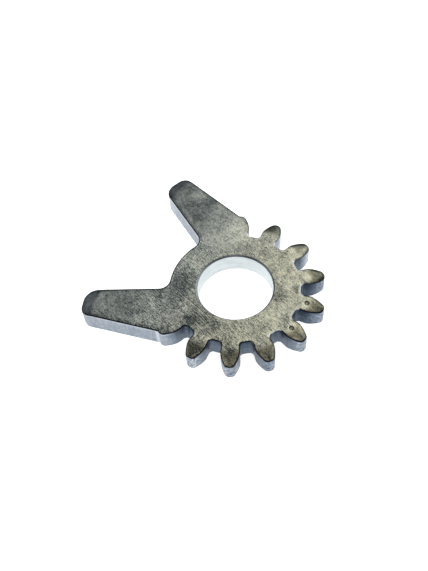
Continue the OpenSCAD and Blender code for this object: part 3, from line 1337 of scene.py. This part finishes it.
    scratches: tuple[Scratch, ...] = (
        Scratch(-15.6, -7.4, -16.0, 18.0, 0.18, 0.42),
        Scratch(-15.2, -7.8, -16.0, 14.0, 0.18, -0.34),
        Scratch(-14.6, -5.6, -15.0, 9.0, 0.16, 0.36),
        Scratch(-15.4, -4.2, -17.0, 8.0, 0.16, -0.26),
        Scratch(-12.4, -9.6, -18.0, 12.0, 0.16, 0.34),
        Scratch(-6.0, -13.2, -19.0, 13.0, 0.16, 0.34),
        Scratch(-4.0, -12.6, -20.0, 12.0, 0.16, -0.30),
        Scratch(1.0, -14.6, -20.0, 10.0, 0.16, 0.34),
    )

    def worn_and_shaded_tone(self, plan: Plan, rolled: Value) -> Value:
        """Tone of the layers and shades, among them painted shade on the rims and a painted highlight by
        the roots, less stains, painted highlights, scratches and pits.

        Args:
            plan: Where the points of the part lie.
            rolled: Mask of what is rolled over.

        Returns:
            The tone.
        """
        smooth = rolled | plan.product(self.upper_arm)
        lower_left = plan.bench.toward(plan.place, self.lower_left)
        plan.layers.update(smooth=smooth, lower_left=lower_left, spot=plan.away(*self.pitted_spot))
        kept = Fade(0.0, 1.0, 1.0, self.crown_specks(plan.y))(smooth)
        specks, strokes = plan.product(self.speck_weight) * kept, plan.product(self.stroke_weight)
        tone = plan.mix(self.base_tone, large=0.26, middle=0.22, small=0.22, specks=specks, strokes=strokes)
        for shade in self.shades:
            tone = tone + plan.product(shade)
        for mark in (*self.stains_and_highlights, *self.scratches):
            tone = tone - mark.tone(plan)
        return tone - plan.layers["pits"] * plan.product(self.pit_weight) * kept

    def lined(self, plan: Plan, colour: Value) -> Value:
        """Draws the painted dark reflection along the edges as a line, and the painted highlight in its
        place by some roots.

        Args:
            plan: Where the points of the part lie.
            colour: Colour of the face.

        Returns:
            Colour with the line.
        """
        # Painted dark reflection along the rolled edges
        line = self.line_w(plan.mix(plan.mark(Mark.EDGE), specks=0.08))
        # Painted highlight by the roots on the right and at the top, where the dark line gives way
        rubbed = plan.product(self.near_root) * (self.rubbed_right(plan.x) | self.rubbed_top(plan.y))
        dark = (self.line_top(plan.y) | self.line_arms(plan.x)) * Fade(0.0, 1.0, 1.0, 0.0)(rubbed)
        colour = plan.bench.blend(line * rubbed * self.rubbed_share, colour, self.rubbed)
        return plan.bench.blend(line * dark, colour, self.line)

    def surface(self, plan: Plan) -> Surface:
        """Works out the finish: layers of tone through a ramp, then tints by the marks of the mesh.

        Args:
            plan: Where the points of the part lie.

        Returns:
            Colour, roughness and height.
        """
        plan.layers.update(
            large=plan.patches(Size=6.0, Contrast=2.4),
            middle=plan.patches(Size=1.8, Contrast=2.6),
            small=plan.patches(Size=0.65, Contrast=2.6, Detail=1.0),
            specks=plan.patches(Size=0.22, Contrast=4.4, Detail=1.0),
            strokes=plan.strokes(plan.seen(self.stroke_angle), Width=0.19, Length=1.9),
            pits=plan.pits(Spacing=0.8, Share=0.36),
        )
        blend = plan.bench.blend
        crown = self.crown_rise(plan.mix(plan.mark(Mark.CROWN), middle=0.06, specks=0.04))
        end_rise = Fade(self.end_start, self.end_full(plan.y))
        end = end_rise(plan.mix(plan.mark(Mark.ARM_END), large=0.03, small=0.01))
        hue = blend(self.warm_side(plan.x), self.cool, self.warm)
        crown_hue = blend(self.upper_crowns(plan.y), self.crown_tint, self.upper_crown_tint)
        colour = plan.bench.ramp(self.worn_and_shaded_tone(plan, crown | end), self.tones)
        for share, tint in ((1.0, hue), (crown, crown_hue), (end, self.end_tint)):
            colour = blend(share, colour, tint, "MULTIPLY")
        # Painted shade in the punch dimples
        colour = blend(plan.product(self.punched), colour, self.punch)
        rough = plan.mix(0.40, middle=0.14, strokes=0.06)
        height = plan.mix(0.0, strokes=0.6, specks=0.6) - plan.layers["pits"]
        return Surface(self.lined(plan, colour), rough, height)


@dataclass(frozen=True)
class ShearedWall(SteelFinish):
    """Outer wall: grey sheared steel, mottled, with fine strokes down it, and painted shade that makes it
    slate in the tooth spaces.

    Each shade is tone for a stretch of the wall, as the product of fades over where the stretch lies.
    """

    name: ClassVar[str] = "sheared_wall"
    tones: ClassVar[dict[float, Triple]] = {
        0.0: (0.034, 0.056, 0.090),
        0.5: (0.184, 0.222, 0.274),
        1.0: (0.478, 0.508, 0.548),
    }
    base_tone: float = 0.64
    teeth_side: Product = (("x", Fade(-8.0, -1.0)),)
    tips: Product = (*teeth_side, (Mark.SPACE, Fade(0.08, 0.45, 1.0, 0.0)))
    tip_mottle: ClassVar[dict[str, Fade]] = {
        "patches": Fade(0.0, 1.0, 0.18, 0.28),
        "small": Fade(0.0, 1.0, 0.12, 0.46),
        "specks": Fade(0.0, 1.0, 0.12, 0.26),
    }
    pit_weight: Product = (*teeth_side, (Mark.SPACE, Fade(0.1, 0.5, 0.70, 0.15)))
    # Painted highlight on the step at the foot of the lower arm
    arm_foot: tuple[float, float] = (-10.8, -21.45)
    arm_foot_light: Fade = Fade(0.25, 0.75, 0.60, 0.0)
    shades: tuple[Product, ...] = (
        # Painted highlight along the top of the arms' walls
        (("x", Fade(-8.0, -1.0, 1.0, 0.0)), (Mark.LEVEL, Fade(0.84, 0.97, 0.0, 0.20))),
        # Painted shade in the tooth spaces, and more of it towards their tops
        ((Mark.SPACE, Fade(0.05, 0.75, 0.0, -0.33)),),
        ((Mark.SPACE, Fade(0.1, 0.6)), (Mark.LEVEL, Fade(0.4, 1.0, 0.0, -0.20))),
        # Painted shade on the teeth towards -y, on those on the right, and in the spaces on the right
        (("x", Fade(3.0, 10.0)), ("y", Fade(-15.0, -6.0, -0.09, 0.0))),
        (("x", Fade(13.0, 20.0, 0.0, -0.18)),),
        (("x", Fade(6.0, 16.0)), ("y", Fade(-1.0, 7.0, 0.0, -0.144)), (Mark.SPACE, Fade(0.02, 0.5))),
        # Light on the two upper teeth, more of it on the first, and on the lower flank of the fifth
        (("y", Fade(14.0, 19.5, 0.0, 0.20)),),
        (*teeth_side, ("x", Fade(8.0, 4.0)), ("y", Fade(12.0, 15.0, 0.0, 0.28))),
        (("x", Fade(16.0, 19.0)), ("y", Fade(-5.5, -7.5)), ("y", Fade(-13.0, -10.0, 0.0, 0.14))),
    )

    def surface(self, plan: Plan) -> Surface:
        """Works out the finish: layers of tone and the shades, through a ramp.

        Args:
            plan: Where the points of the part lie.

        Returns:
            Colour, roughness and height.
        """
        upright = {"Vector": plan.place, "Rotation": (0.0, math.pi / 2, 0.0)}
        plan.layers.update(
            patches=plan.patches(Size=2.2, Contrast=2.4),
            small=plan.patches(Size=0.9, Contrast=2.6, Detail=1.0),
            specks=plan.patches(Size=0.5, Contrast=2.8, Detail=1.0),
            strokes=plan.strokes(plan.bench.value("Mapping", upright), Width=0.5, Length=5.0),
        )
        pits = plan.pits(Spacing=1.3, Share=0.5)
        tips = plan.product(self.tips)
        mottle = {name: weight(tips) for name, weight in self.tip_mottle.items()}
        tone = plan.mix(self.base_tone, strokes=0.12, **mottle) - pits * plan.product(self.pit_weight)
        # Painted highlight on the step at the foot of the lower arm
        tone = tone + self.arm_foot_light(plan.away(*self.arm_foot))
        for shade in self.shades:
            tone = tone + plan.product(shade)
        height = plan.mix(0.0, strokes=1.0, specks=0.5) - pits
        return Surface(plan.bench.ramp(tone, self.tones), plan.mix(0.42, patches=0.14), height)


@dataclass(frozen=True)
class BoreWall(SteelFinish):
    """Bore: pale burnished steel with faint rings round it, and a bevel with a painted dark reflection,
    darkest on one side.
    """

    name: ClassVar[str] = "bore_wall"
    tones: ClassVar[dict[float, Triple]] = {0.0: (0.36, 0.40, 0.42), 1.0: (0.74, 0.79, 0.80)}
    ring_stretch: Triple = (0.05, 0.05, 1.0)
    # bevel and left_bevel are a painted dark reflection on the bevel, darkest towards dark_side
    bevel: Triple = (0.070, 0.078, 0.088)
    left_bevel: Triple = (0.20, 0.21, 0.215)
    bevel_rise: Fade = Fade(0.03, 0.12)
    dark_side: Triple = (0.42, 0.91, 0.0)
    dark_rise: Fade = Fade(-5.0, 3.0)

    def surface(self, plan: Plan) -> Surface:
        """Works out the finish: rings and patches of tone through a ramp, then the bevel.

        Args:
            plan: Where the points of the part lie.

        Returns:
            Colour, roughness and height.
        """
        bench = plan.bench
        flattened = bench.scaled(plan.place, self.ring_stretch)
        rings = bench.group(plan.effects.patches, flattened, Size=1.1, Contrast=2.4)
        plan.layers.update(rings=rings, patches=plan.patches(Size=3.0, Contrast=2.0))
        colour = bench.ramp(plan.mix(0.50, rings=0.24, patches=0.34), self.tones)
        side = self.dark_rise(bench.toward(plan.place, self.dark_side))
        # Painted dark reflection on the bevel, darkest towards dark_side
        bevel = bench.blend(side, self.left_bevel, self.bevel)
        colour = bench.blend(self.bevel_rise(plan.mark(Mark.EDGE)), colour, bevel)
        return Surface(colour, plan.mix(0.36, patches=0.12), rings)


@dataclass(frozen=True)
class Underside(SteelFinish):
    """Bottom face: ground and stained like the top, but flat and evenly so."""

    name: ClassVar[str] = "ground_underside"
    stroke_angle: float = math.radians(-20)
    tones: ClassVar[dict[float, Triple]] = {
        0.0: (0.10, 0.11, 0.105),
        0.5: (0.27, 0.275, 0.25),
        1.0: (0.50, 0.50, 0.43),
    }

    def surface(self, plan: Plan) -> Surface:
        """Works out the finish: strokes, patches and specks of tone through a ramp.

        Args:
            plan: Where the points of the part lie.

        Returns:
            Colour, roughness and height.
        """
        plan.layers.update(
            large=plan.patches(Size=7.0, Contrast=2.0),
            specks=plan.patches(Size=0.5, Contrast=2.6, Detail=1.0),
            strokes=plan.strokes(plan.seen(self.stroke_angle), Width=0.5, Length=12.0),
        )
        colour = plan.bench.ramp(plan.mix(0.5, large=0.35, specks=0.30, strokes=0.30), self.tones)
        return Surface(colour, plan.mix(0.42, large=0.14), plan.layers["strokes"])


@dataclass(frozen=True)
class PhotoCamera:
    """Camera at the photograph's viewing angle, which looks down on the plate."""

    azimuth: float = math.radians(34.617)
    elevation: float = math.radians(55.191)
    roll: float = math.radians(-5.185)
    aim: Triple = (-5.127, -2.373, 3.0)
    distance: float = 233.317
    lens: float = 55.633
    clip_start: float = 0.01

    def make(self) -> bpy.types.Object:
        """Makes the camera and gives it to the scene.

        Returns:
            The camera.
        """
        flat = math.cos(self.elevation)
        back_x, back_y = math.sin(self.azimuth) * flat, -math.cos(self.azimuth) * flat
        back = Vector((back_x, back_y, math.sin(self.elevation)))
        level = Vector((0, 0, 1)).cross(back).normalized()
        right = level * math.cos(self.roll) + back.cross(level) * math.sin(self.roll)
        turn = Matrix((right, back.cross(right), back)).transposed().to_4x4()
        data = bpy.data.cameras.new("photo_camera")
        data.lens = self.lens
        data.clip_start = self.clip_start
        made = linked("photo_camera", data)
        made.matrix_world = Matrix.Translation((Vector(self.aim) + back * self.distance) * MM) @ turn
        bpy.context.scene.camera = made
        return made


@dataclass(frozen=True)
class SoftLamp:
    """A white square area lamp that points at the part. Sizes and places are metres."""

    name: str
    place: Triple
    side: float
    power: float

    def make(self) -> bpy.types.Object:
        """Makes the lamp.

        Returns:
            The lamp.
        """
        data = bpy.data.lights.new(self.name, "AREA")
        data.size = self.side
        data.energy = self.power
        made = linked(self.name, data)
        made.location = self.place
        made.rotation_euler = Vector(self.place).to_track_quat("Z", "Y").to_euler()
        return made


@dataclass(frozen=True)
class Studio:
    """White floor, pale surroundings that darken overhead and in front, and soft lamps."""

    floor_z: float
    floor_side: float = 6.0
    floor_colour: Triple = (0.90, 0.90, 0.90)
    floor_glow: float = 0.64
    glow_rays: tuple[str, str, str] = ("Camera", "Glossy", "Transmission")
    front: Triple = (0.57, -0.82, 0.0)
    front_dim: Fade = Fade(0.15, 0.6, 1.0, 0.20)
    low_light: Fade = Fade(0.14, 0.32, 1.0, 0.0)
    sky: ClassVar[dict[float, Triple]] = {
        0.0: (0.97, 0.97, 0.97),
        0.2: (0.91, 0.91, 0.91),
        0.70: (0.95, 0.95, 0.94),
        0.84: (0.68, 0.68, 0.68),
        0.94: (0.34, 0.34, 0.34),
        1.0: (0.24, 0.24, 0.24),
    }
    lamps: tuple[SoftLamp, ...] = (
        SoftLamp("left_lamp", (-0.62, -0.30, 0.50), 0.5, 1.6),
        SoftLamp("back_right_lamp", (0.20, 0.65, 0.55), 0.5, 2.2),
        SoftLamp("front_top_lamp", (0.30, -0.43, 0.85), 0.6, 4.0),
    )

    def floor_material(self) -> bpy.types.Material:
        """A matt white that also glows a little where it is looked at straight, in gloss or through glass.

        Returns:
            The material, which reads as white and still takes the shadow.
        """
        material = bpy.data.materials.new("white_floor")
        material.use_nodes = True
        material.node_tree.nodes.clear()
        bench = NodeBench(material.node_tree)
        rays = bench.add("ShaderNodeLightPath", {}).outputs
        camera, gloss, glass = (Value(bench, rays[f"Is {kind} Ray"]) for kind in self.glow_rays)
        glow = bench.value("Emission", {"Strength": (camera | gloss | glass) * self.floor_glow})
        matt = bench.value("BsdfDiffuse", {"Color": self.floor_colour})
        bench.add("ShaderNodeOutputMaterial", {"Surface": bench.value("AddShader", {0: matt, 1: glow})})
        return material

    def make_floor(self) -> bpy.types.Object:
        """Makes the floor.

        Returns:
            The floor.
        """
        half, z = self.floor_side / 2, self.floor_z
        corners = [(-half, -half, z), (half, -half, z), (half, half, z), (-half, half, z)]
        mesh = bpy.data.meshes.new("floor")
        mesh.from_pydata(corners, [], [(0, 1, 2, 3)])
        mesh.materials.append(self.floor_material())
        made = linked("floor", mesh)
        return made

    def make_world(self) -> bpy.types.World:
        """Makes the surroundings: a level by the height of the direction looked in, dim high in front.

        Returns:
            The world.
        """
        world = bpy.data.worlds.new("studio")
        world.use_nodes = True
        bench = NodeBench(world.node_tree)
        looked = bench.value("TexCoord", {}, "Generated")
        height = bench.parts(looked)[2]
        background = world.node_tree.nodes["Background"].inputs
        dim = self.front_dim(bench.toward(looked, self.front)) | self.low_light(height)
        bench.fill(background["Color"], bench.ramp(height, self.sky))
        bench.fill(background["Strength"], dim)
        bpy.context.scene.world = world
        return world

    def make(self) -> None:
        """Makes floor, surroundings and lamps, with colours shown as they are."""
        self.make_floor()
        self.make_world()
        for lamp in self.lamps:
            lamp.make()
        bpy.context.scene.view_settings.view_transform = "Standard"


def bore_radius(record: dict) -> float:
    """Radius of the bore in millimetres, from the record's mount of that name."""
    mount = next(mount for mount in record["mounts"] if mount["name"] == "bore")
    return mount["dims"]["r_mm"]


def main() -> None:
    """Builds the plate, its finishes and the studio."""
    low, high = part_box(NODE)
    effects = SteelEffects()
    finishes = (GroundFace(), ShearedWall(), BoreWall(), Underside())
    materials = [finish.make(effects) for finish in finishes]
    plate = SectorGearPlate(half_t=(high.z - low.z) / 2 / MM, bore_r=bore_radius(frame["record"]))
    made = plate.build(materials)
    log.info("%s: %d points, %d faces", made.name, len(made.data.vertices), len(made.data.polygons))
    Studio(floor_z=low.z).make()
    PhotoCamera().make()


if __name__ == "__main__":
    main()
